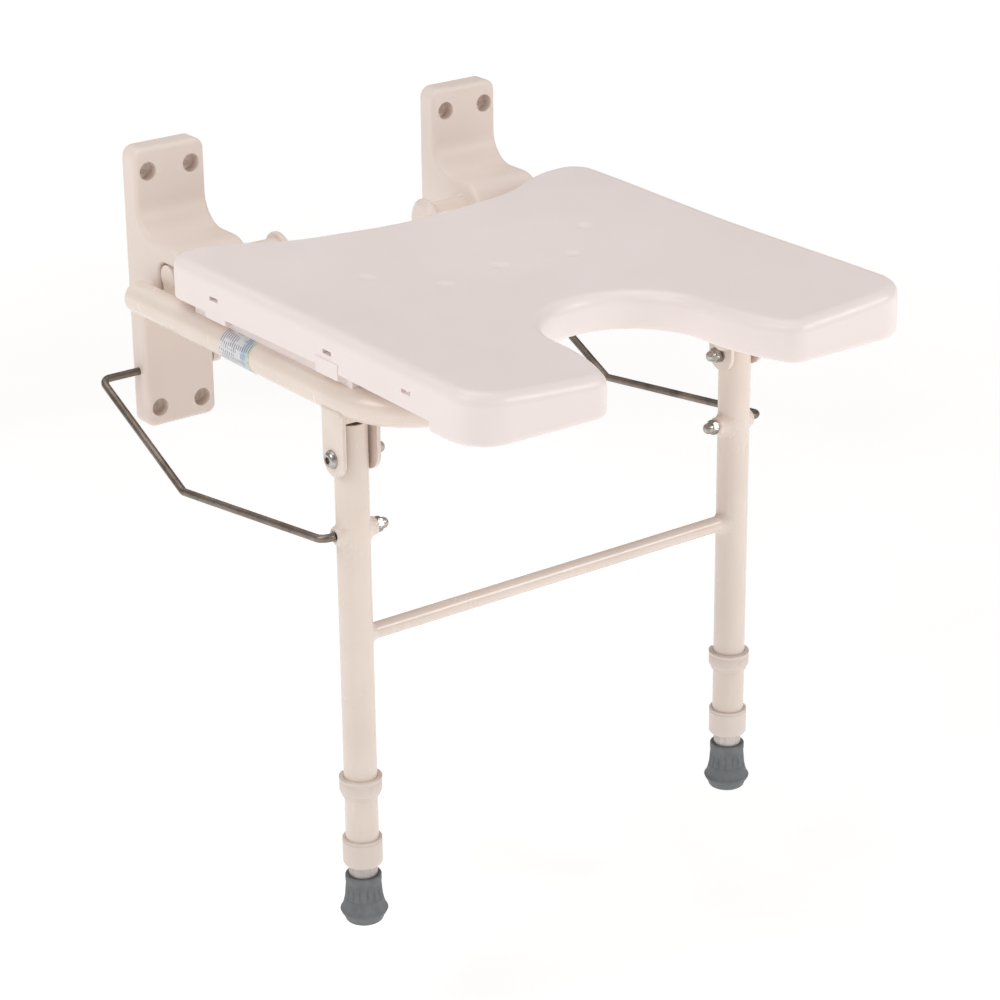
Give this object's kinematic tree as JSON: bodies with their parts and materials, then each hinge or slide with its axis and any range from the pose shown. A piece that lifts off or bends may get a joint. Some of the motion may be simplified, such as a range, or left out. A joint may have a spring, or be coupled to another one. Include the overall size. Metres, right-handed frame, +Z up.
{
  "type": "fold-up wall shower seat",
  "caption": "Wall-mounted fold-up shower seat with a horseshoe cut-out, hinged tube frame and height-adjustable folding support legs.",
  "frame": {"origin": "centre of the outer wall-bolt pattern, on the wall face of the brackets", "axes": "+Y into the wall along the wall bolts, +Z up, +X to the right for somebody who faces the wall"},
  "size_m": [0.422, 0.5, 0.537],
  "materials": {
    "bracket_plastic": "fine moulded texture, satin",
    "nylon": "natural nylon, satin",
    "frame_paint": "semi-gloss powder coat on steel",
    "trim_plastic": "satin moulded plastic",
    "seat_plastic": "semi-gloss moulded plastic with a very fine grain",
    "bright_steel": "bright zinc-plated steel",
    "foot_metal": "satin drawn tube",
    "grey_rubber": "matt moulded rubber",
    "link_wire": "drawn wire, dull brown-grey",
    "label_film": "printed film with plain bars, no lettering"
  },
  "bodies": {
    "wall_brackets": {"left_wall_bracket": "bracket_plastic", "right_wall_bracket": "bracket_plastic", "left_pivot_bush": "nylon", "right_pivot_bush": "nylon"},
    "seat_frame": {"left_seat_rail": "frame_paint", "right_seat_rail": "frame_paint", "left_pivot_stub": "frame_paint", "right_pivot_stub": "frame_paint", "left_pivot_cap": "trim_plastic", "right_pivot_cap": "trim_plastic", "left_hinge_lug": "frame_paint", "right_hinge_lug": "frame_paint", "left_rear_tube_plug": "trim_plastic", "right_rear_tube_plug": "trim_plastic", "left_front_tube_plug": "trim_plastic", "right_front_tube_plug": "trim_plastic", "frame_cross_tube": "frame_paint", "left_leg_clevis": "frame_paint", "right_leg_clevis": "frame_paint", "left_leg_pivot_bolt": "bright_steel", "right_leg_pivot_bolt": "bright_steel", "left_leg_pivot_washer": "bright_steel", "right_leg_pivot_washer": "bright_steel", "left_leg_pivot_nut": "bright_steel", "right_leg_pivot_nut": "bright_steel", "rail_label": "label_film", "seat_shell": "seat_plastic", "seat_screws": "bright_steel"},
    "leg_frame": {"left_leg_tube": "frame_paint", "right_leg_tube": "frame_paint", "leg_crossbar": "frame_paint", "left_link_sleeve": "frame_paint", "right_link_sleeve": "frame_paint", "left_link_stud": "bright_steel", "right_link_stud": "bright_steel", "left_link_nut": "bright_steel", "right_link_nut": "bright_steel", "left_leg_collar": "trim_plastic", "right_leg_collar": "trim_plastic", "left_height_clip": "trim_plastic", "right_height_clip": "trim_plastic"},
    "left_foot": {"left_foot_tube": "foot_metal", "left_ferrule": "grey_rubber"},
    "right_foot": {"right_foot_tube": "foot_metal", "right_ferrule": "grey_rubber"},
    "left_link": {"left_fold_link": "link_wire", "left_link_cap": "trim_plastic"},
    "right_link": {"right_fold_link": "link_wire", "right_link_cap": "trim_plastic"}
  },
  "joints": [
    {"name": "seat_fold", "type": "hinge", "parent": "wall_brackets", "child": "seat_frame", "pos_m": [0, -0.0595, 0.0245], "axis": [-1, 0, 0], "range_deg": [0, 88]},
    {"name": "leg_fold", "type": "hinge", "parent": "seat_frame", "child": "leg_frame", "pos_m": [0, -0.322, -0.039], "axis": [-1, 0, 0], "range_deg": [-88, 0]},
    {"name": "left_link_swing", "type": "hinge", "parent": "wall_brackets", "child": "left_link", "pos_m": [0, -0.0075, -0.0675], "axis": [-1, 0, 0], "range_deg": [0, 72.67]},
    {"name": "right_link_swing", "type": "hinge", "parent": "wall_brackets", "child": "right_link", "pos_m": [0, -0.0075, -0.0675], "axis": [-1, 0, 0], "range_deg": [0, 72.67]},
    {"name": "left_leg_extend", "type": "slide", "parent": "leg_frame", "child": "left_foot", "axis": [0, 0, -1], "range_m": [0, 0.1]},
    {"name": "right_leg_extend", "type": "slide", "parent": "leg_frame", "child": "right_foot", "axis": [0, 0, -1], "range_m": [0, 0.1]}
  ],
  "couplings": [
    {"joint": "leg_fold", "follows": "seat_fold", "ratio": -1},
    {"joint": "left_link_swing", "follows": "seat_fold", "ratio": 0.8252},
    {"joint": "right_link_swing", "follows": "seat_fold", "ratio": 0.8252}
  ]
}
